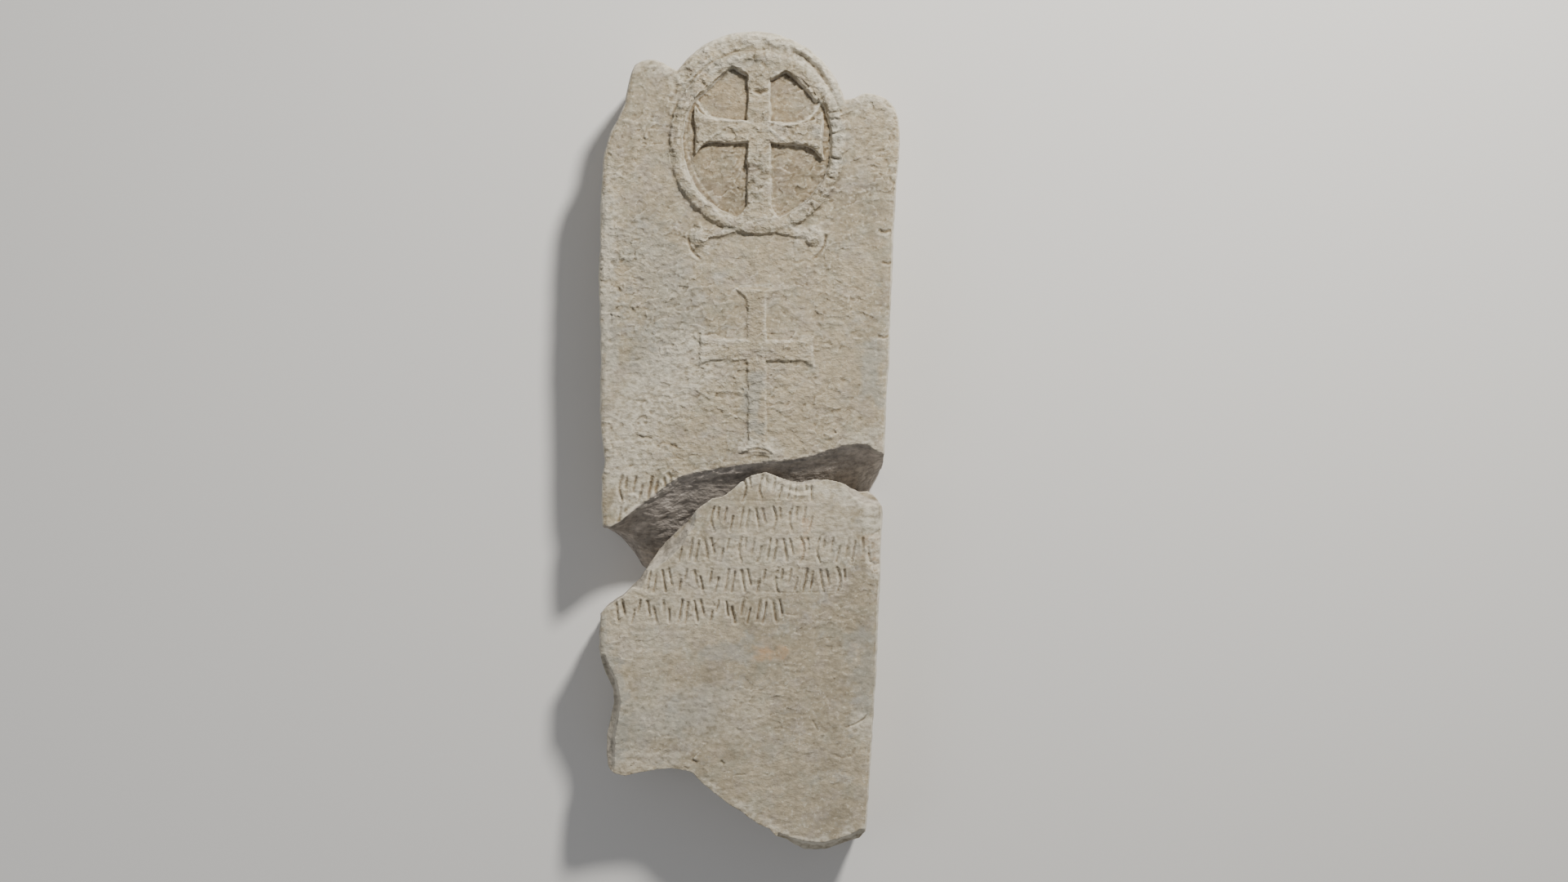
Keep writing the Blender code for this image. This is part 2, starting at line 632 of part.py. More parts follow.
def main():
    for thing in list(bpy.data.objects):
        bpy.data.objects.remove(thing)
    head = make_head()
    foot = make_foot()
    centre_on_origin((head, foot))


main()
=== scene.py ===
"""Looks of the broken funerary stele: two weathered limestone fragments that lie on a pale floor, face up.

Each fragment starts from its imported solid. It is remeshed finely, its carving is worn and made uneven,
its breaks are roughened, and it gets the small relief, scratches, pits and chips of the real stone.
Metres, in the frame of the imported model: +X right, +Y towards the arched head, +Z out of the face.
"""

import math

import bmesh
import bpy
import numpy as np
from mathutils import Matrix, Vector


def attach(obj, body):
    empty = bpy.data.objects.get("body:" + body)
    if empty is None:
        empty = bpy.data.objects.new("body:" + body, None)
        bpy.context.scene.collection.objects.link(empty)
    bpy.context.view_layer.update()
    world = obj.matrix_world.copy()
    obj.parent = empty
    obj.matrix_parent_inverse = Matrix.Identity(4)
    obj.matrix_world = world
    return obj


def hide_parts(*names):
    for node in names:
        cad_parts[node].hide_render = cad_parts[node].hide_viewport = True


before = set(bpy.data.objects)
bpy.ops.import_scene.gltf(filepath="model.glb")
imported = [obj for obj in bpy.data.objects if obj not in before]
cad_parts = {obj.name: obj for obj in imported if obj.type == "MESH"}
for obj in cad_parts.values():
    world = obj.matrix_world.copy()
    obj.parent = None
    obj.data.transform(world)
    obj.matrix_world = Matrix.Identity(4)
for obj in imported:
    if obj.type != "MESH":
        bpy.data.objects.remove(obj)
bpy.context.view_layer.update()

# The slab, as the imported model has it
FACE_Z = 0.130
PIXEL = 0.00122
FOOT_PIXEL = (917.1, 1038.9)
FOOT_Y = -0.609
STROKE_DEPTH = 0.0026
RELIEF = 0.0065
RING_CENTRE = (0.0118, 0.4425)
RING_OUTER = (0.1315, 0.1374)
ARCH_CENTRE = (0.0068, 0.469)
ARCH_RADIUS = 0.140

# Mesh sizes
VOXEL = {"head_fragment": 0.0015, "foot_fragment": 0.0013}
TRIANGLES = {"head_fragment": 195000, "foot_fragment": 190000}


def spot(px, py):
    """The place on the slab of a point of the face, from its pixel in the front view."""
    return ((px - FOOT_PIXEL[0]) * PIXEL, (FOOT_PIXEL[1] - py) * PIXEL + FOOT_Y)


def smoothstep(low, high, value):
    t = np.clip((value - low) / (high - low), 0.0, 1.0)
    return t * t * (3 - 2 * t)


# Noise


def lattice(ix, iy, iz, seed):
    """A random number from 0 to 1 for each lattice point."""
    h = (ix * 73856093) ^ (iy * 19349663) ^ (iz * 83492791) ^ (seed * 374761393 + 97)
    h = ((h ^ (h >> 13)) * 1274126177) & 0xFFFFFFFF
    h = ((h ^ (h >> 15)) * 668265263) & 0xFFFFFFFF
    return ((h ^ (h >> 16)) & 0xFFFFFF) / 0xFFFFFF


def noise(points, size, seed):
    """Smooth noise from -1 to 1, with features of about the given size. size may have three values."""
    q = points / np.asarray(size)
    cell = np.floor(q).astype(np.int64)
    f = q - cell
    f = f * f * f * (f * (f * 6 - 15) + 10)
    total = 0.0
    for dx in (0, 1):
        wx = f[:, 0] if dx else 1 - f[:, 0]
        for dy in (0, 1):
            wy = f[:, 1] if dy else 1 - f[:, 1]
            for dz in (0, 1):
                wz = f[:, 2] if dz else 1 - f[:, 2]
                total = total + wx * wy * wz * lattice(cell[:, 0] + dx, cell[:, 1] + dy, cell[:, 2] + dz, seed)
    return total * 2 - 1


def layered(points, size, seed, layers=4, gain=0.5):
    """Noise of several sizes, each half the one before."""
    total, weight, norm = 0.0, 1.0, 0.0
    for layer in range(layers):
        total = total + weight * noise(points, np.asarray(size) / 2 ** layer, seed + 31 * layer)
        norm += weight
        weight *= gain
    return total / norm


def ridged(points, size, seed, layers=3):
    """Noise with sharp crests, from 0 to 1."""
    total, weight, norm = 0.0, 1.0, 0.0
    for layer in range(layers):
        crest = 1 - np.abs(noise(points, np.asarray(size) / 2 ** layer, seed + 17 * layer))
        total = total + weight * crest * crest
        norm += weight
        weight *= 0.5
    return total / norm


def pits(points, size, seed, share, radius):
    """Round pits on a jittered grid over X and Y, from 0 outside to 1 in the middle of a pit."""
    q = points[:, :2] / size
    cell = np.floor(q).astype(np.int64)
    depth = np.zeros(len(points))
    for dx in (-1, 0, 1):
        for dy in (-1, 0, 1):
            cx, cy = cell[:, 0] + dx, cell[:, 1] + dy
            zero = np.zeros_like(cx)
            px = cx + lattice(cx, cy, zero, seed)
            py = cy + lattice(cx, cy, zero + 1, seed)
            present = lattice(cx, cy, zero + 2, seed) < share
            reach = radius * (0.4 + 0.6 * lattice(cx, cy, zero + 3, seed)) / size
            away = np.hypot(q[:, 0] - px, q[:, 1] - py) / reach
            depth = np.maximum(depth, np.where(present, np.clip(1 - away * away, 0, 1), 0))
    return depth


def facets(points, size, seed):
    """Small facets with crisp edges, as a point or chisel leaves them, from about -1 to 1."""
    q = points[:, :2] / np.asarray(size)
    cell = np.floor(q).astype(np.int64)
    best = np.full(len(points), 1e9)
    height = np.zeros(len(points))
    for dx in (-1, 0, 1):
        for dy in (-1, 0, 1):
            cx, cy = cell[:, 0] + dx, cell[:, 1] + dy
            zero = np.zeros_like(cx)
            ax = q[:, 0] - cx - lattice(cx, cy, zero, seed)
            ay = q[:, 1] - cy - lattice(cx, cy, zero + 1, seed)
            tilt_x = lattice(cx, cy, zero + 2, seed) * 2 - 1
            tilt_y = lattice(cx, cy, zero + 3, seed) * 2 - 1
            step = lattice(cx, cy, zero + 4, seed) - 0.5
            away = ax * ax + ay * ay
            closer = away < best
            best = np.where(closer, away, best)
            height = np.where(closer, tilt_x * ax + tilt_y * ay + step, height)
    return height


# Meshes as arrays


def dense(node, voxel):
    """The node's solid as an even mesh of quads: points and quads."""
    bm = bmesh.new()
    bm.from_mesh(node.data)
    bmesh.ops.remove_doubles(bm, verts=bm.verts, dist=1e-6)
    mesh = bpy.data.meshes.new("dense")
    bm.to_mesh(mesh)
    bm.free()
    thing = bpy.data.objects.new("dense", mesh)
    bpy.context.scene.collection.objects.link(thing)
    modifier = thing.modifiers.new("Remesh", "REMESH")
    modifier.mode = "VOXEL"
    modifier.voxel_size = voxel
    shown = thing.evaluated_get(bpy.context.evaluated_depsgraph_get())
    made = shown.to_mesh()
    points = np.empty(len(made.vertices) * 3)
    made.vertices.foreach_get("co", points)
    corners = np.empty(len(made.loops), np.int32)
    made.loops.foreach_get("vertex_index", corners)
    shown.to_mesh_clear()
    bpy.data.objects.remove(thing)
    bpy.data.meshes.remove(mesh)
    return points.reshape(-1, 3), corners.reshape(-1, 4)


def edges_of(quads):
    """Each edge of the quads once."""
    pairs = np.concatenate([quads[:, [i, (i + 1) % 4]] for i in range(4)]).astype(np.int64)
    low, high = pairs.min(axis=1), pairs.max(axis=1)
    both = np.unique(low << 32 | high)
    return np.stack([both >> 32, both & 0xFFFFFFFF], axis=1)


def normals_of(points, quads):
    a, b, c, d = (points[quads[:, i]] for i in range(4))
    face = np.cross(c - a, d - b)
    total = np.zeros_like(points)
    for i in range(4):
        for axis in range(3):
            total[:, axis] += np.bincount(quads[:, i], face[:, axis], len(points))
    return total / np.maximum(np.linalg.norm(total, axis=1, keepdims=True), 1e-12)


def relax(values, edges, rounds, weight=0.5):
    """Moves each value towards the mean of its neighbours. weight may differ from point to point."""
    count = np.bincount(edges.ravel(), minlength=len(values)).astype(float)
    flat = values.reshape(len(values), -1).copy()
    weight = np.broadcast_to(weight, len(values))
    for _ in range(rounds):
        for axis in range(flat.shape[1]):
            column = flat[:, axis]
            total = np.bincount(edges[:, 0], column[edges[:, 1]], len(column))
            total += np.bincount(edges[:, 1], column[edges[:, 0]], len(column))
            flat[:, axis] = column + weight * (total / count - column)
    return flat.reshape(values.shape)


# Lines on the face


def away_from(points, path):
    """Distance over X and Y to a line of places, and how far along it the nearest place is, from 0 to 1."""
    path = np.asarray(path, float)
    lengths = np.linalg.norm(np.diff(path, axis=0), axis=1)
    start = np.concatenate([[0], np.cumsum(lengths)])
    best = np.full(len(points), 1e9)
    along = np.zeros(len(points))
    for i in range(len(path) - 1):
        a, b = path[i], path[i + 1]
        run = b - a
        t = np.clip(((points[:, :2] - a) @ run) / (run @ run), 0, 1)
        d = np.hypot(points[:, 0] - a[0] - t * run[0], points[:, 1] - a[1] - t * run[1])
        closer = d < best
        best = np.where(closer, d, best)
        along = np.where(closer, (start[i] + t * lengths[i]) / start[-1], along)
    return best, along


def close_to(points, places, reach):
    """The numbers of the points within reach of the box round some places."""
    low, high = np.min(places, axis=0) - reach, np.max(places, axis=0) + reach
    return np.flatnonzero(((points[:, :2] > low) & (points[:, :2] < high)).all(axis=1))


# Small carving and damage that only shows close up: pixels of the front view, width in metres, height in metres
HEAD_LINES = (
    # worn ridges along the upper edges of the wreath cross's arms
    (((853, 125), (858, 134), (866, 144), (878, 148), (900, 151), (918, 152)), 0.0050, 0.0024),
    (((944, 152), (958, 157), (974, 155), (990, 148), (1000, 136), (1004, 127)), 0.0050, 0.0022),
    (((938, 157), (946, 164), (957, 173), (968, 177)), 0.0060, 0.0024),
    # hollow on the upper arm, and nicks across the ring
    (((921, 114), (931, 117), (942, 113)), 0.0075, -0.0042),
    (((922, 109), (931, 111), (941, 108)), 0.0050, 0.0016),
    (((1012, 143), (1020, 141), (1030, 138)), 0.0060, -0.0036),
    (((1014, 168), (1022, 166), (1032, 163)), 0.0060, -0.0034),
    (((1014, 194), (1021, 197), (1030, 198)), 0.0060, -0.0036),
    (((1008, 215), (1014, 220), (1022, 222)), 0.0060, -0.0030),
    (((1000, 128), (1008, 122), (1014, 114)), 0.0060, -0.0026),
    (((857, 100), (862, 106), (866, 113)), 0.0055, -0.0024),
    (((903, 66), (906, 72), (908, 80)), 0.0060, -0.0020),
    (((933, 60), (936, 68), (935, 76)), 0.0070, -0.0024),
    (((868, 254), (874, 262), (882, 266)), 0.0055, -0.0022),
    # double edge inside the left of the ring
    (((846, 140), (842, 158), (842, 178), (847, 200), (856, 220), (868, 238)), 0.0050, -0.0016),
    # arc cut in the foot of the tall cross
    (((908, 556), (917, 551), (928, 549), (938, 551), (946, 556)), 0.0055, -0.0028),
    (((905, 560), (920, 556), (936, 556), (949, 560)), 0.0050, 0.0012),
    # groove between the ring and the rough rim of the arch
    (((966, 64), (984, 73), (1000, 88), (1012, 106), (1021, 127)), 0.0105, -0.0040),
    (((880, 82), (862, 96), (846, 112), (836, 132)), 0.0080, -0.0016),
    # scratches and shallow flake edges of the field
    (((878, 518), (893, 510), (908, 503)), 0.0040, -0.0010),
    (((778, 516), (786, 510), (796, 514)), 0.0040, -0.0012),
    (((801, 552), (812, 541), (825, 545), (838, 552)), 0.0060, -0.0016),
    (((893, 452), (886, 462), (872, 470)), 0.0040, -0.0012),
    (((990, 303), (1010, 304), (1048, 303), (1072, 300)), 0.0030, -0.0008),
    (((1074, 283), (1082, 286), (1090, 283)), 0.0080, -0.0040),
    (((1078, 322), (1086, 324), (1092, 322)), 0.0060, -0.0030),
    (((1073, 412), (1082, 414), (1088, 411)), 0.0060, -0.0025),
    (((745, 569), (790, 569), (830, 570), (860, 569)), 0.0030, -0.0007),
    (((817, 577), (822, 583), (832, 584)), 0.0090, -0.0030),
    (((757, 632), (770, 622), (786, 612)), 0.0120, -0.0026),
)
FIELD_CORNERS = (
    ((895.5, 84.0), (907, 91), (920, 98), (930, 98), (930, 76), (893, 79)),
    ((853, 123), (868, 109), (882, 96), (895.5, 84.0), (894, 78), (858, 94), (845, 116)),
    ((963, 90.5), (954, 95), (945, 100), (936, 101), (936, 78), (964, 84)),
    ((963, 90.5), (976, 103), (988, 115), (998, 128), (1008, 122), (988, 92), (966, 82)),
)
FOOT_LINES = (
    # guide lines of the inscription
    (((903, 612), (940, 612), (975, 613), (1003, 612)), 0.0030, -0.0008),
    (((905, 720), (960, 724), (1000, 723), (1046, 722)), 0.0030, -0.0008),
    (((862, 650), (900, 650), (960, 652), (1000, 651)), 0.0025, -0.0005),
    # worn rim of the break
    (((962, 596), (972, 601), (985, 600), (997, 597)), 0.0100, -0.0030),
    (((967, 601), (976, 606), (990, 604)), 0.0050, 0.0012),
    # crack and scoops near the right edge
    (((1034, 888), (1046, 884), (1056, 878), (1062, 870)), 0.0045, -0.0024),
    (((1018, 920), (1030, 925), (1042, 922), (1046, 912)), 0.0060, -0.0018),
    (((994, 878), (998, 886), (1002, 892)), 0.0040, -0.0014),
    (((858, 863), (867, 864)), 0.0050, -0.0012),
    (((860, 905), (868, 907)), 0.0050, -0.0014),
    (((900, 945), (915, 945)), 0.0035, -0.0014),
    (((934, 944), (941, 946)), 0.0045, -0.0014),
    (((847, 927), (855, 931)), 0.0075, -0.0022),
    (((882, 928), (888, 933)), 0.0065, -0.0026),
    (((1064, 655), (1072, 650), (1078, 647)), 0.0045, -0.0018),
    (((1062, 684), (1070, 690), (1077, 688)), 0.0070, -0.0022),
    (((738, 812), (745, 811)), 0.0050, -0.0018),
)


def within(points, polygon, soft):
    """1 inside a polygon of pixels, 0 outside, with an edge of the given width in metres."""
    places = np.array([spot(*p) for p in polygon])
    some = close_to(points, places, soft)
    x, y = points[some, 0], points[some, 1]
    d, _ = away_from(points[some], np.vstack([places, places[:1]]))
    inside = np.zeros(len(some), bool)
    for (ax, ay), (bx, by) in zip(places, np.roll(places, -1, axis=0)):
        slope = (bx - ax) / (by - ay) if by != ay else 0.0
        inside ^= ((y < ay) != (y < by)) & (x < ax + (y - ay) * slope)
    mask = np.zeros(len(points))
    mask[some] = smoothstep(-soft / 2, soft / 2, np.where(inside, d, -d))
    return mask


def strokes_of(node):
    """The bottom lines of the solid's incised strokes, lengthened over their rising ends."""
    bm = bmesh.new()
    bm.from_mesh(node.data)
    bmesh.ops.remove_doubles(bm, verts=bm.verts, dist=1e-6)
    bottom = FACE_Z - STROKE_DEPTH
    edges = [e for e in bm.edges if all(abs(v.co.z - bottom) < 1e-4 for v in e.verts)]
    joins = {}
    for edge in edges:
        for vert in edge.verts:
            joins[vert] = joins.get(vert, 0) + 1
    strokes = []
    for edge in edges:
        first, last = edge.verts
        run = (last.co.xy - first.co.xy).normalized() * min(0.0034, 0.45 * edge.calc_length())
        strokes.append([
            np.array(first.co.xy - run * (joins[first] == 1)),
            np.array(last.co.xy + run * (joins[last] == 1)),
        ])
    bm.free()
    return strokes


def cut_strokes(points, strokes, seed):
    """Depth of the incised strokes at each point: V-cuts with rough sides and uneven depth."""
    depth = np.zeros(len(points))
    near = np.flatnonzero(points[:, 2] > FACE_Z - 0.006)
    wobble = np.stack([noise(points[near], 0.009, seed), noise(points[near], 0.009, seed + 1)], axis=1)
    spots = points[near].copy()
    spots[:, :2] += 0.0006 * wobble
    found = np.zeros(len(near))
    for i, (a, b) in enumerate(strokes):
        some = close_to(spots, [a, b], 0.006)
        d, _ = away_from(spots[some], [a, b])
        reach = 0.0034 + 0.0005 * math.sin(2.1 * i)
        cut = (0.0024 + 0.0007 * math.sin(1.3 * i)) * np.clip(1 - d / reach, 0, 1) ** 0.8
        cut = cut * (0.85 + 0.35 * noise(spots[some], 0.014, seed + 2))
        lip = -0.0003 * np.exp(-(((d - reach) / 0.0009) ** 2))
        found[some] = np.where(cut > 0, np.maximum(found[some], cut), np.where(found[some] == 0, lip, found[some]))
    depth[near] = found
    return depth


# Patches of colour: pixels of the front view, half width in metres, strength
STAINS_FOOT = (
    (((932, 800), (945, 799), (955, 797)), 0.010, 1.0),
    (((985, 680), (984, 660), (987, 640)), 0.006, 0.5),
    (((1066, 660), (1071, 690)), 0.012, 0.5),
)
COOL_FOOT = (
    (((749, 815), (752, 850), (752, 900), (750, 925)), 0.020, 0.9),
    (((738, 760), (742, 790)), 0.014, 0.8),
    (((1060, 780), (1058, 830), (1056, 870)), 0.020, 0.6),
    (((865, 795), (905, 800), (915, 790)), 0.014, 0.7),
    (((850, 868), (800, 880), (770, 900)), 0.030, 0.5),
)
PALE_FOOT = (
    (((905, 588), (945, 588), (970, 598), (1000, 596), (1022, 603)), 0.013, 1.0),
    (((1030, 606), (1062, 620), (1072, 650), (1074, 700)), 0.015, 0.9),
    (((1048, 885), (1058, 890)), 0.016, 0.7),
    (((1020, 640), (1035, 660)), 0.018, 0.6),
    (((760, 730), (790, 705)), 0.010, 0.6),
    (((770, 930), (820, 925)), 0.020, 0.5),
    (((790, 850), (850, 880), (900, 870)), 0.045, 0.35),
    (((780, 770), (880, 700), (1000, 650)), 0.060, 0.40),
    # painted light: the chipped band at the tip of the foot faces away from the key light and is made pale
    (((985, 1033), (1020, 1030), (1056, 1014)), 0.012, 1.0),
    (((860, 948), (920, 990), (975, 1028)), 0.004, 0.7),
)
WARM_HEAD = (
    (((850, 100), (862, 92)), 0.012, 0.5),
    (((1050, 175), (1075, 160)), 0.016, 0.4),
    (((948, 300), (990, 335)), 0.030, 0.45),
    (((960, 520), (1020, 490)), 0.045, 0.5),
    (((1000, 380), (1040, 450)), 0.040, 0.4),
    (((945, 400), (975, 470)), 0.020, 0.4),
)
COOL_HEAD = (
    (((745, 250), (747, 330), (748, 430)), 0.016, 0.7),
    (((790, 300), (830, 380), (800, 440)), 0.040, 0.6),
    (((925, 470), (922, 500), (925, 520)), 0.016, 0.9),
    (((1072, 430), (1066, 460), (1072, 480)), 0.018, 0.8),
    (((1022, 120), (1026, 160), (1024, 200)), 0.010, 0.7),
    (((845, 110), (880, 86), (925, 78)), 0.010, 0.6),
)
PALE_HEAD = (
    # pale worn stone of the arch rim, made brighter still as a painted highlight
    (((850, 56), (885, 46), (920, 44), (975, 58), (1008, 85), (1022, 110)), 0.018, 1.0),
    (((780, 84), (800, 84), (822, 98)), 0.010, 0.7),
    (((1050, 125), (1075, 122), (1092, 140)), 0.010, 0.7),
    (((852, 285), (862, 305)), 0.010, 0.9),
    (((985, 290), (1002, 285)), 0.012, 0.8),
    (((1022, 205), (1026, 170)), 0.008, 0.8),
    (((905, 548), (928, 544), (948, 550)), 0.010, 0.9),
    (((760, 625), (785, 612)), 0.014, 0.9),
    (((850, 440), (790, 490), (765, 560)), 0.050, 0.8),
    (((742, 240), (744, 360), (742, 520)), 0.014, 0.6),
    (((748, 210), (750, 300)), 0.012, 0.5),
    (((1040, 545), (1068, 530)), 0.014, 0.5),
)

# Edges of the carving painted pale: painted highlights where the light catches them, partly rubbed pale as well
HIGHLIT_EDGES_HEAD = (
    (((852, 124), (862, 137), (872, 147), (900, 151), (921, 152)), 0.0030, 1.0),
    (((943, 152), (958, 156), (985, 150), (996, 141), (1004, 127)), 0.0030, 1.0),
    (((942, 160), (950, 168), (958, 174)), 0.0026, 0.9),
    (((942, 102), (943, 148)), 0.0018, 0.7),
    (((943, 186), (944, 215), (944, 248), (952, 262)), 0.0018, 0.8),
    (((843, 128), (841, 160), (845, 195), (858, 225), (880, 252)), 0.0020, 0.7),
    (((836, 205), (850, 232), (872, 258), (895, 272)), 0.0050, 0.7),
    (((905, 270), (930, 274), (955, 268)), 0.0050, 0.6),
    (((1021, 150), (1024, 190), (1018, 215)), 0.0040, 0.9),
    (((1000, 100), (1012, 120)), 0.0040, 0.8),
    (((920, 70), (900, 75), (870, 92)), 0.0036, 0.7),
    (((868, 292), (885, 286), (902, 281)), 0.0020, 0.9),
    (((968, 279), (978, 285), (990, 290)), 0.0020, 0.9),
    (((899, 357), (906, 352), (925, 351), (946, 351)), 0.0024, 0.9),
    (((862, 415), (880, 418), (914, 418)), 0.0022, 0.9),
    (((939, 419), (965, 418), (990, 413)), 0.0024, 0.9),
    (((938, 362), (936, 395), (937, 416)), 0.0018, 0.7),
    (((993, 416), (994, 432), (997, 450)), 0.0020, 0.8),
    (((859, 418), (859, 440), (856, 450)), 0.0018, 0.6),
    (((938, 446), (938, 490), (939, 535)), 0.0016, 0.5),
    (((906, 550), (926, 543), (948, 551)), 0.0022, 0.9),
    (((860, 583), (900, 574), (940, 565)), 0.0018, 0.6),
    (((768, 612), (800, 592), (830, 584)), 0.0030, 0.5),
)
HIGHLIT_EDGES_FOOT = (
    (((905, 591), (922, 583), (945, 583)), 0.0024, 0.8),
    (((945, 590), (966, 600), (990, 599), (1005, 594)), 0.0040, 0.9),
    (((1030, 604), (1050, 612), (1070, 618)), 0.0030, 0.8),
    (((860, 640), (850, 660), (836, 690)), 0.0020, 0.5),
    (((795, 720), (760, 738), (742, 748)), 0.0022, 0.7),
    (((1040, 892), (1056, 884)), 0.0040, 0.7),
)

# Stain, cool, pale and painted-highlight edge patches of each fragment, with how ragged they are in metres
PATCHES = {
    "head_fragment": ((WARM_HEAD, 0.016), (COOL_HEAD, 0.020), (PALE_HEAD, 0.014), (HIGHLIT_EDGES_HEAD, 0.0012)),
    "foot_fragment": ((STAINS_FOOT, 0.010), (COOL_FOOT, 0.020), (PALE_FOOT, 0.012), (HIGHLIT_EDGES_FOOT, 0.0012)),
}


def add_lines(points, lines, top):
    """Raises or sinks the face along the lines."""
    lift = np.zeros(len(points))
    for path, width, height in lines:
        places = [spot(*p) for p in path]
        some = close_to(points, places, width / 2)
        d, along = away_from(points[some], places)
        fade = np.clip(np.minimum(along, 1 - along) / 0.25, 0, 1) ** 0.5
        lift[some] += height * np.clip(1 - d / (width / 2), 0, 1) * fade
    return lift * top


# The stone


def carve_head(points, level, seed):
    """Shapes of the worn carving that the solid has straighter. level is 1 on the face, 0 below it."""
    x, y = points[:, 0] - RING_CENTRE[0], points[:, 1] - RING_CENTRE[1]
    ring_out = np.hypot(x / RING_OUTER[0], y / RING_OUTER[1])
    arch_out = np.hypot(points[:, 0] - ARCH_CENTRE[0], points[:, 1] - ARCH_CENTRE[1])
    lumps = layered(points, 0.016, seed, 3, 0.6)

    # the upper fields end in straight edges that meet in a point
    for corner in FIELD_CORNERS:
        fill = within(points, corner, 0.0030) * level
        target = FACE_Z + RELIEF - 0.0008 + 0.0006 * lumps
        points[:, 2] += fill * np.maximum(0, target - points[:, 2])

    # the rim of the arch round the ring: nearly as high as the ring, lumpy, with a groove at its right
    rim = smoothstep(1.0, 1.02, ring_out) * smoothstep(0.000, 0.045, points[:, 1] - ARCH_CENTRE[1])
    rim *= smoothstep(ARCH_RADIUS - 0.001, ARCH_RADIUS - 0.010, arch_out) * level
    turn = np.degrees(np.arctan2(y, x))
    groove = smoothstep(20, 40, turn) * smoothstep(100, 78, turn) * smoothstep(1.10, 1.03, ring_out)
    rough = layered(points, 0.007, seed + 6, 2)
    points[:, 2] += rim * (0.0036 + 0.0016 * lumps + 0.0024 * rough) * (1 - 0.9 * groove)

    # lumps and worn places on all that stands out
    proud = smoothstep(0.0006, 0.0030, points[:, 2] - FACE_Z) * (0.25 + 0.75 * smoothstep(0.325, 0.335, points[:, 1]))
    worn = smoothstep(0.05, 0.45, layered(points, 0.026, seed + 3, 3))
    points[:, 2] += proud * (0.0022 * lumps - 0.0022 * worn)

    # the field inside the ring is dressed deeper towards its edges
    inner = smoothstep(0.84, 0.80, ring_out) * smoothstep(FACE_Z, FACE_Z - 0.002, points[:, 2]) * level
    points[:, 2] -= inner * 0.0006 * smoothstep(0.3, 0.8, ring_out)
    return points


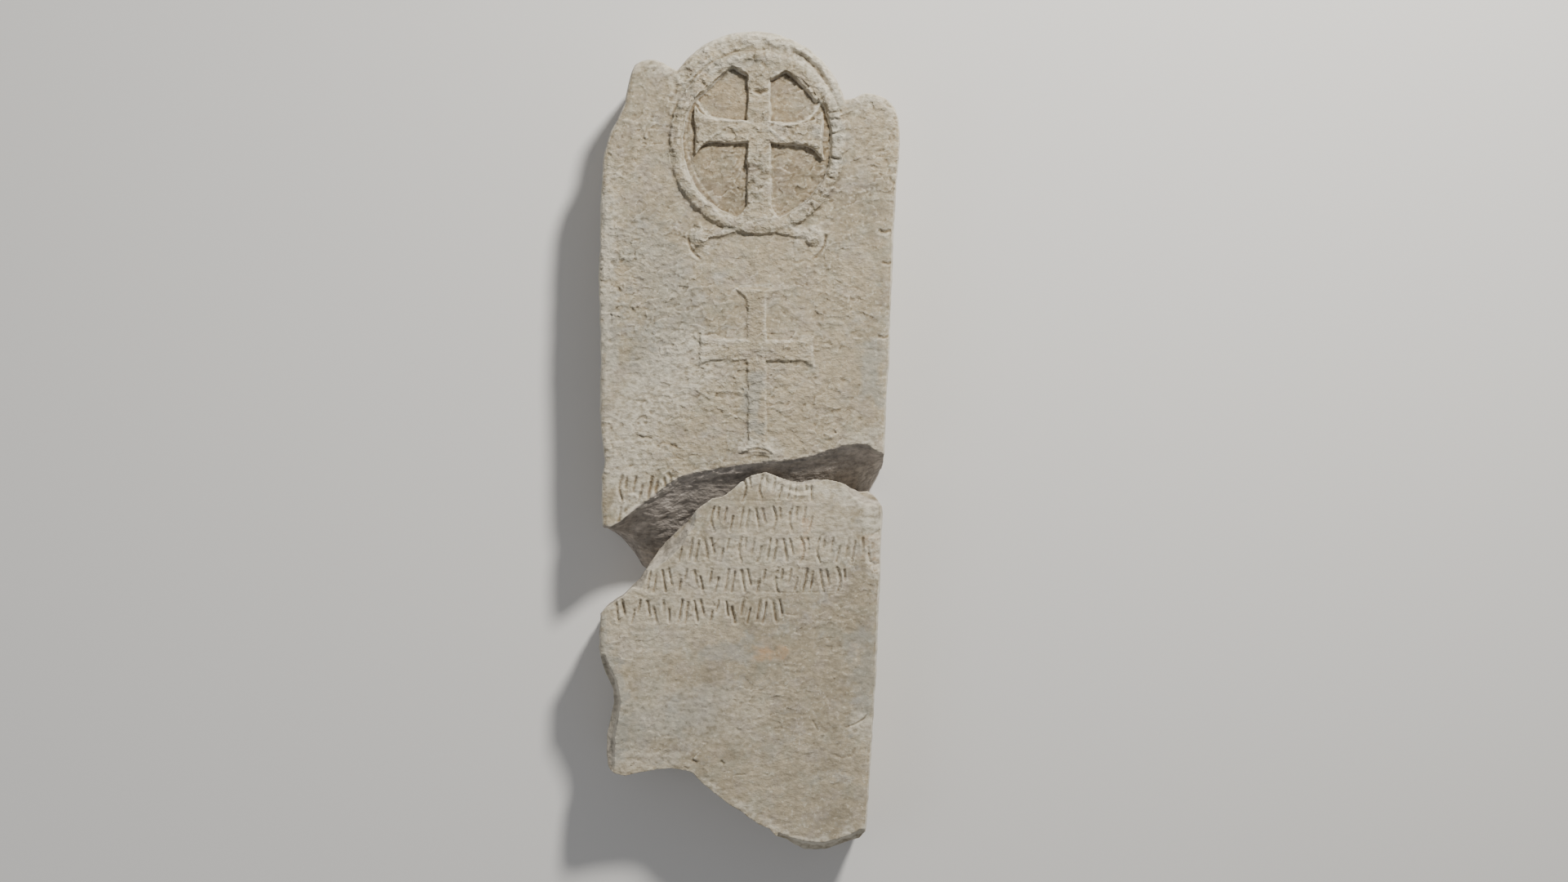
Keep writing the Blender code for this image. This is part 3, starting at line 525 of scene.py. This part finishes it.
def stone(name, lines, seed, breaks, roughness):
    """Builds one fragment's visible mesh from its solid."""
    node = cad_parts[name]
    points, quads = dense(node, VOXEL[name])
    edges = edges_of(quads)
    normals = normals_of(points, quads)

    level = smoothstep(FACE_Z - 0.0075, FACE_Z - 0.0045, points[:, 2])
    top = smoothstep(0.25, 0.75, normals[:, 2]) * smoothstep(FACE_Z - 0.016, FACE_Z - 0.009, points[:, 2])
    under = smoothstep(0.010, 0.002, points[:, 2]) * smoothstep(0.3, 0.7, -normals[:, 2])
    broken = breaks(points, normals)
    wide = relax(points, edges, 30)
    bend = ((points - wide) * normals).sum(axis=1)
    arris = smoothstep(0.0010, 0.0030, bend)
    if name == "head_fragment":
        points = carve_head(points, level, seed + 60)

    # carving by hand: lines that waver, most of all on the relief
    loose = smoothstep(0.205, 0.190, np.abs(points[:, 0])) * smoothstep(-0.03, 0.0, points[:, 1]) * level
    above_arch = np.maximum(0, points[:, 1] - ARCH_CENTRE[1])
    loose *= smoothstep(0.139, 0.130, np.hypot(points[:, 0] - ARCH_CENTRE[0], above_arch))
    sway = (0.0010 + 0.0010 * loose)[:, None]
    warp = sway * np.stack([
        layered(points, 0.040, seed + 1, 2), layered(points, 0.040, seed + 3, 2), np.zeros(len(points)),
    ], axis=1)
    warp += 0.55 * sway * np.stack([
        noise(points, 0.011, seed + 2), noise(points, 0.011, seed + 4), np.zeros(len(points)),
    ], axis=1)
    points = points + warp * (1 - under)[:, None]

    # arrises worn round, in some places much more than in others
    points = relax(points, edges, 2, 0.35)
    weak = smoothstep(-0.1, 0.5, layered(points, 0.030, seed + 5, 3))
    weak *= 0.25 + 0.75 * np.maximum(smoothstep(0.325, 0.335, points[:, 1]), 1 - level)
    points = relax(points, edges, 8, 0.55 * arris * weak * (1 - 0.7 * broken))

    # the dressed face: slow waves, chisel facets, fine marks across, shallow flake scars and pits
    side = smoothstep(FACE_Z - 0.004, FACE_Z - 0.012, points[:, 2]) * (1 - top) * (1 - broken) * (1 - under)
    bent = points.copy()
    bent[:, 0] += 0.006 * noise(points, 0.020, seed + 6)
    bent[:, 1] += 0.004 * noise(points, 0.014, seed + 7)
    patchy = 0.45 + 0.75 * smoothstep(-0.4, 0.4, layered(points, 0.10, seed + 8, 2))
    wave = 0.0012 * layered(points, 0.16, seed + 9, 2)
    chisel = 0.00110 * facets(bent, (0.0170, 0.0095), seed + 10) + 0.00050 * facets(bent, (0.0080, 0.0050), seed + 11)
    streak = 0.00040 * layered(bent, (0.030, 0.0060, 0.03), seed + 12, 2, 0.6)
    crumb = 0.00075 * layered(points, 0.011, seed + 13, 2, 0.6)
    scars = smoothstep(0.74, 0.84, ridged(bent, (0.070, 0.036, 0.05), seed + 14, 3))
    holes = 0.0012 * pits(bent, 0.016, seed + 15, 0.35, 0.0045) + 0.0012 * pits(bent, 0.040, seed + 16, 0.3, 0.011)
    high = smoothstep(FACE_Z + 0.0010, FACE_Z + 0.0030, points[:, 2])
    patchy *= 1 + high * np.where(points[:, 1] > 0.265, 0.35, -0.35)
    lift = wave + roughness * patchy * (chisel + streak + crumb - holes) - 0.0007 * scars * roughness

    # the sides: rougher, with long tool marks down them
    flank = 0.0014 * layered(points, (0.05, 0.05, 0.09), seed + 17, 3) + 0.0005 * layered(points, 0.010, seed + 18, 2)

    # the breaks: long wavy striations along them, hackles and small steps
    run = points.copy()
    run[:, 1] += 0.012 * noise(points, 0.07, seed + 19)
    run[:, 2] += 0.010 * noise(points, 0.06, seed + 20)
    lines_along = layered(run, (0.10, 0.013, 0.011), seed + 21, 4, 0.6)
    hackle = layered(points, 0.020, seed + 22, 4, 0.6)
    steps = layered(run, (0.09, 0.040, 0.028), seed + 23, 2) * 3.0
    stepped = np.floor(steps) + smoothstep(0.72, 1.0, steps - np.floor(steps))
    fracture = 0.0012 * lines_along + 0.0007 * hackle + 0.0007 * (stepped - steps)

    move = top * lift + side * flank + broken * fracture
    points = points + normals * (move * (1 - under))[:, None]
    points[:, 2] += add_lines(points, lines, top)
    points[:, 2] -= cut_strokes(points, strokes_of(node), seed + 24) * top

    # chips along the arrises
    chip = smoothstep(0.10, 0.70, layered(points, (0.018, 0.026, 0.02), seed + 25, 3, 0.6))
    points -= normals * (arris * chip * 0.0026 * (1 - under))[:, None]
    points[:, 2] = np.maximum(points[:, 2], 0.0)

    # what the material reads: hollows and crests at two sizes, and the breaks
    normals = normals_of(points, quads)
    near = ((points - relax(points, edges, 5)) * normals).sum(axis=1)
    far = ((points - relax(points, edges, 30)) * normals).sum(axis=1)
    edge_band = smoothstep(FACE_Z - 0.018, FACE_Z - 0.007, points[:, 2])
    edge_band *= smoothstep(FACE_Z + 0.001, FACE_Z - 0.001, points[:, 2])
    tilted = smoothstep(0.85, 0.45, normals[:, 2]) * smoothstep(-0.1, 0.15, normals[:, 2])
    fields = {
        "crest": smoothstep(0.00006, 0.00040, near) * 0.5 + smoothstep(0.0004, 0.0028, far) * 0.5,
        "hollow": smoothstep(0.00006, 0.00045, -near) * 0.5 + smoothstep(0.0004, 0.0026, -far) * 0.5,
        "broken": broken,
        "proud": high * top,
        "depth": smoothstep(FACE_Z - 0.001, FACE_Z - 0.0035, points[:, 2]) * top,
        "rim": tilted * edge_band * (1 - 0.6 * broken),
    }
    stains, cool, pale, rubbed_and_highlit = (
        stain(points, patches, ragged, seed + 30 + i) for i, (patches, ragged) in enumerate(PATCHES[name])
    )
    # the painted highlights along the edges join the pale patches in one mask
    fields.update(stain=stains, cool=cool, pale=np.maximum(pale, rubbed_and_highlit))
    return light_mesh(name, points, quads, fields)


def stain(points, lines, ragged, seed):
    """1 in patches round lines of pixels, with ragged edges. Each line has its half width and its strength."""
    spread = np.zeros(len(points))
    torn = layered(points, 0.018, seed, 4, 0.65)
    for path, reach, strength in lines:
        places = [spot(*p) for p in path]
        some = close_to(points, places, reach * 1.25 + ragged * 1.6)
        d, _ = away_from(points[some], places)
        patch = strength * smoothstep(reach * 1.25, reach * 0.55, d + 1.6 * ragged * torn[some])
        spread[some] = np.maximum(spread[some], patch)
    return spread * smoothstep(FACE_Z - 0.040, FACE_Z - 0.015, points[:, 2])


def light_mesh(name, points, quads, fields):
    """A mesh object with few enough triangles, and each field as an attribute of it."""
    mesh = bpy.data.meshes.new(name)
    mesh.from_pydata(points.tolist(), [], quads.tolist())
    for label, values in fields.items():
        mesh.attributes.new(label, "FLOAT", "POINT").data.foreach_set("value", values.astype(np.float32))
    heavy = bpy.data.objects.new(name + "_heavy", mesh)
    bpy.context.scene.collection.objects.link(heavy)
    modifier = heavy.modifiers.new("Decimate", "DECIMATE")
    modifier.ratio = min(1.0, TRIANGLES[name] / (2 * len(quads)))
    light = bpy.data.meshes.new_from_object(heavy.evaluated_get(bpy.context.evaluated_depsgraph_get()))
    light.name = name + "_stone"
    bpy.data.objects.remove(heavy)
    bpy.data.meshes.remove(mesh)
    light.shade_smooth()
    thing = bpy.data.objects.new(name + "_stone", light)
    bpy.context.scene.collection.objects.link(thing)
    return thing


def head_breaks(points, normals):
    """1 on the head fragment's break, 0 elsewhere."""
    below = smoothstep(FACE_Z + 0.0005, FACE_Z - 0.0015, points[:, 2])
    return smoothstep(0.20, 0.45, -normals[:, 1]) * smoothstep(0.02, 0.00, points[:, 1]) * below


def foot_breaks(points, normals):
    """1 on the foot fragment's breaks, at both of its ends and down its left side."""
    upper = smoothstep(0.20, 0.45, normals[:, 1]) * smoothstep(-0.30, -0.27, points[:, 1])
    lower = smoothstep(0.20, 0.45, -normals[:, 1]) * smoothstep(-0.44, -0.47, points[:, 1])
    lower *= smoothstep(FACE_Z - 0.014, FACE_Z - 0.022, points[:, 2])
    left = smoothstep(0.30, 0.60, -normals[:, 0]) * smoothstep(-0.10, -0.13, points[:, 0])
    below = smoothstep(FACE_Z, FACE_Z - 0.0020, points[:, 2])
    return np.clip(upper + lower + 0.6 * left, 0, 1) * smoothstep(0.97, 0.80, normals[:, 2]) * below


# Materials


def put(tree, socket, value):
    """Links an output to a socket, or gives the socket a value of its own."""
    if isinstance(value, bpy.types.NodeSocket):
        tree.links.new(value, socket)
    elif isinstance(value, tuple):
        socket.default_value = (*value, 1)
    else:
        socket.default_value = value


def ramp(tree, source, *stops):
    """A colour ramp with stops of (place, colour or grey)."""
    node = tree.nodes.new("ShaderNodeValToRGB")
    band = node.color_ramp
    while len(band.elements) < len(stops):
        band.elements.new(0.5)
    for element, (place, colour) in zip(band.elements, stops):
        element.position = place
        element.color = (*colour, 1) if isinstance(colour, tuple) else (colour, colour, colour, 1)
    tree.links.new(source, node.inputs["Fac"])
    return node.outputs["Color"]


def mixed(tree, how, factor, first, second):
    """Mixes two colours. factor is a number or an output."""
    node = tree.nodes.new("ShaderNodeMix")
    node.data_type = "RGBA"
    node.blend_type = how
    node.clamp_factor = True
    for index, value in ((0, factor), (6, first), (7, second)):
        put(tree, node.inputs[index], value)
    return node.outputs[2]


def texture_noise(tree, coords, scale, detail, rough, offset, stretch=None):
    mapping = tree.nodes.new("ShaderNodeMapping")
    mapping.inputs["Location"].default_value = (offset, offset * 1.7, offset * 0.6)
    if stretch:
        mapping.inputs["Scale"].default_value = stretch
    tree.links.new(coords, mapping.inputs["Vector"])
    node = tree.nodes.new("ShaderNodeTexNoise")
    node.inputs["Scale"].default_value = scale
    node.inputs["Detail"].default_value = detail
    node.inputs["Roughness"].default_value = rough
    tree.links.new(mapping.outputs["Vector"], node.inputs["Vector"])
    return node.outputs["Fac"]


def math_node(tree, operation, first, second):
    node = tree.nodes.new("ShaderNodeMath")
    node.operation = operation
    node.use_clamp = True
    put(tree, node.inputs[0], first)
    put(tree, node.inputs[1], second)
    return node.outputs[0]


def times(tree, first, second):
    return math_node(tree, "MULTIPLY", first, second)


def field(tree, label):
    node = tree.nodes.new("ShaderNodeAttribute")
    node.attribute_name = label
    return node.outputs["Fac"]


TINTS = (((0.43, 0.375, 0.335), 0.35, 29), ((0.42, 0.42, 0.335), 0.30, 31))
WARM_TINT = (0.46, 0.37, 0.235)
BLOOM = (0.50, 0.52, 0.49)
SPECK = (0.66, 0.61, 0.49)
SUNK_SHADE = (0.72, 0.65, 0.56)
COOL_TINT = (0.36, 0.375, 0.345)
BARE_STONE_AND_HIGHLIGHT = (0.70, 0.65, 0.53)
RUBBED_AND_HIGHLIT_STONE = (0.78, 0.72, 0.58)
HOLLOW_SHADE = (0.38, 0.33, 0.27)
BREAK_CREST = (0.46, 0.42, 0.35)
WORN_AND_HIGHLIT_RIM = (0.72, 0.68, 0.58)


def limestone(name, face, fresh, stain_colour, grain, offset):
    """Weathered limestone: mottled tan, with painted highlights on crests and edges where it is also rubbed pale,
    painted shade in hollows, and darker on the breaks.
    """
    material = bpy.data.materials.new(name)
    material.use_nodes = True
    tree = material.node_tree
    shader = tree.nodes["Principled BSDF"]
    shader.inputs["Roughness"].default_value = 0.88
    shader.inputs["Specular IOR Level"].default_value = 0.25
    coords = tree.nodes.new("ShaderNodeTexCoord").outputs["Object"]
    crest, hollow, broken, proud, depth, rim, stained, cool, bare_and_highlit = (
        field(tree, label)
        for label in ("crest", "hollow", "broken", "proud", "depth", "rim", "stain", "cool", "pale")
    )

    patches = texture_noise(tree, coords, 7.0, 5.0, 0.55, offset)
    mottle = texture_noise(tree, coords, 42.0, 6.0, 0.65, offset + 3)
    streaks = texture_noise(tree, coords, 60.0, 5.0, 0.6, offset + 7, (0.45, 1.9, 1.0))
    lichen = texture_noise(tree, coords, 26.0, 8.0, 0.75, offset + 11)
    warm = texture_noise(tree, coords, 14.0, 5.0, 0.6, offset + 13)
    grit = texture_noise(tree, coords, 210.0, 3.0, 0.6, offset + 23)

    # the fine relief, which the bump and the colours share
    coarse = texture_noise(tree, coords, 130.0, 2.5, 0.55, offset + 17, (0.85, 1.20, 1.0))
    fine = texture_noise(tree, coords, 420.0, 2.0, 0.60, offset + 19, (0.90, 1.12, 1.0))
    level = math_node(tree, "ADD", times(tree, coarse, 0.82), times(tree, fine, 0.18))

    # the weathered face
    dark = tuple(c * 0.74 for c in face)
    pale = tuple(c * 1.18 for c in face)
    colour = ramp(tree, patches, (0.30, dark), (0.52, face), (0.72, pale))
    colour = mixed(tree, "MULTIPLY", 0.70, colour, ramp(tree, mottle, (0.28, 0.66), (0.50, 1.00), (0.72, 1.22)))
    colour = mixed(tree, "MULTIPLY", 0.45, colour, ramp(tree, streaks, (0.32, 0.70), (0.52, 1.0), (0.70, 1.15)))
    for tint, share, shift in TINTS:
        blots = texture_noise(tree, coords, 36.0, 4.0, 0.6, offset + shift)
        spread = ramp(tree, blots, (0.50, 0.0), (0.64, 1.0))
        colour = mixed(tree, "MIX", times(tree, spread, share), colour, tint)
    warmth = ramp(tree, warm, (0.50, 0.0), (0.68, 1.0))
    colour = mixed(tree, "MIX", times(tree, warmth, 0.30), colour, WARM_TINT)
    bloom = ramp(tree, lichen, (0.56, 0.0), (0.66, 1.0))
    colour = mixed(tree, "MIX", times(tree, bloom, 0.30), colour, BLOOM)
    # painted shade in the low spots and painted highlight on the high spots of the fine bump relief
    colour = mixed(tree, "MULTIPLY", 0.80, colour, ramp(tree, level, (0.34, 0.78), (0.50, 0.98), (0.66, 1.20)))
    specks = ramp(tree, grit, (0.57, 0.0), (0.64, 1.0))
    specks = times(tree, specks, ramp(tree, mottle, (0.40, 0.10), (0.60, 0.60)))
    colour = mixed(tree, "MIX", specks, colour, SPECK)
    colour = mixed(tree, "MULTIPLY", times(tree, depth, 0.60), colour, SUNK_SHADE)

    # patches in their places
    stained = times(tree, stained, ramp(tree, mottle, (0.40, 0.25), (0.58, 0.75)))
    colour = mixed(tree, "MIX", stained, colour, stain_colour)
    colour = mixed(tree, "MIX", times(tree, cool, 0.50), colour, COOL_TINT)
    # pale patches: bare worn stone, together with the painted highlights along edges and on the arch rim and the
    # painted light on the tip of the foot
    bare_and_highlit = times(tree, bare_and_highlit, ramp(tree, coarse, (0.36, 0.15), (0.60, 0.85)))
    colour = mixed(tree, "MIX", bare_and_highlit, colour, BARE_STONE_AND_HIGHLIGHT)

    # painted highlight on the crests, partly rubbed pale, and painted shade in the hollows
    rubbed_and_highlit = times(tree, crest, ramp(tree, coarse, (0.34, 0.25), (0.58, 1.0)))
    colour = mixed(tree, "MIX", times(tree, rubbed_and_highlit, 0.90), colour, RUBBED_AND_HIGHLIT_STONE)
    colour = mixed(tree, "MULTIPLY", times(tree, hollow, 0.90), colour, HOLLOW_SHADE)

    # the breaks, and the rim round the face painted pale: a painted highlight along its edge, partly worn
    low, high = (tuple(c * k for c in fresh) for k in (0.72, 1.25))
    cracked = ramp(tree, mottle, (0.30, low), (0.52, fresh), (0.75, high))
    cracked = mixed(tree, "MULTIPLY", 0.6, cracked, ramp(tree, streaks, (0.32, 0.60), (0.52, 1.0), (0.70, 1.3)))
    # painted shade in the low spots and painted highlight on the high spots of the fine bump relief on the breaks
    cracked = mixed(tree, "MULTIPLY", 0.7, cracked, ramp(tree, level, (0.38, 0.66), (0.49, 0.98), (0.60, 1.24)))
    # painted highlight on the crests of the breaks
    cracked = mixed(tree, "MIX", times(tree, crest, 0.30), cracked, BREAK_CREST)
    colour = mixed(tree, "MIX", broken, colour, cracked)
    worn_and_highlit_rim = times(tree, rim, ramp(tree, mottle, (0.34, 0.15), (0.60, 0.85)))
    colour = mixed(tree, "MIX", worn_and_highlit_rim, colour, WORN_AND_HIGHLIT_RIM)
    put(tree, shader.inputs["Base Color"], colour)

    bump = tree.nodes.new("ShaderNodeBump")
    bump.inputs["Distance"].default_value = grain
    strength = ramp(tree, patches, (0.38, 0.35), (0.62, 0.80))
    put(tree, bump.inputs["Strength"], math_node(tree, "ADD", strength, times(tree, proud, 0.45)))
    put(tree, bump.inputs["Height"], level)
    put(tree, shader.inputs["Normal"], bump.outputs["Normal"])
    return material


def plain(name, colour, roughness):
    material = bpy.data.materials.new(name)
    material.use_nodes = True
    shader = material.node_tree.nodes["Principled BSDF"]
    shader.inputs["Base Color"].default_value = (*colour, 1)
    shader.inputs["Roughness"].default_value = roughness
    return material


# The two fragments

FRAGMENTS = {
    "head_fragment": {
        "shape": {"lines": HEAD_LINES, "seed": 100, "breaks": head_breaks, "roughness": 1.0},
        "look": {
            "face": (0.430, 0.364, 0.254),
            "fresh": (0.425, 0.378, 0.332),
            "stain_colour": (0.45, 0.37, 0.25),
            "grain": 0.0048,
            "offset": 1.0,
        },
    },
    "foot_fragment": {
        "shape": {"lines": FOOT_LINES, "seed": 200, "breaks": foot_breaks, "roughness": 0.55},
        "look": {
            "face": (0.420, 0.358, 0.256),
            "fresh": (0.450, 0.400, 0.325),
            "stain_colour": (0.54, 0.33, 0.17),
            "grain": 0.0030,
            "offset": 2.0,
        },
    },
}

for name, made in FRAGMENTS.items():
    piece = stone(name, **made["shape"])
    piece.data.materials.clear()
    piece.data.materials.append(limestone(name + "_limestone", **made["look"]))
    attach(piece, "root")
    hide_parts(name)


# The stage

bpy.ops.mesh.primitive_plane_add(size=12, location=(0, 0, 0))
floor = bpy.context.object
floor.name = "floor"
floor.data.materials.append(plain("floor_paint", (0.80, 0.79, 0.77), 0.7))

FIELD_WIDTH = 2.325
CAMERA_X = 0.0519
LENS = 50.0
SENSOR = 36.0
camera_data = bpy.data.cameras.new("camera")
camera_data.lens = LENS
camera_data.sensor_width = SENSOR
camera = bpy.data.objects.new("camera", camera_data)
camera.location = (CAMERA_X, 0.0, FACE_Z + FIELD_WIDTH * LENS / SENSOR)
camera.rotation_euler = (0, 0, 0)
bpy.context.scene.collection.objects.link(camera)
bpy.context.scene.camera = camera


def area_light(name, place, size, power, colour):
    data = bpy.data.lights.new(name, "AREA")
    data.shape = "DISK"
    data.size = size
    data.energy = power
    data.color = colour
    thing = bpy.data.objects.new(name, data)
    thing.location = place
    thing.rotation_euler = (Vector((0, 0, 0.1)) - Vector(place)).to_track_quat("-Z", "Y").to_euler()
    bpy.context.scene.collection.objects.link(thing)


area_light("key", (1.35, 2.45, 2.30), 0.45, 172, (1.0, 0.97, 0.91))
area_light("fill", (-2.2, -0.6, 2.6), 2.0, 12, (0.95, 0.97, 1.0))

world = bpy.data.worlds.new("studio")
world.use_nodes = True
world.node_tree.nodes["Background"].inputs["Color"].default_value = (0.98, 0.98, 1.0, 1)
world.node_tree.nodes["Background"].inputs["Strength"].default_value = 0.22
bpy.context.scene.world = world
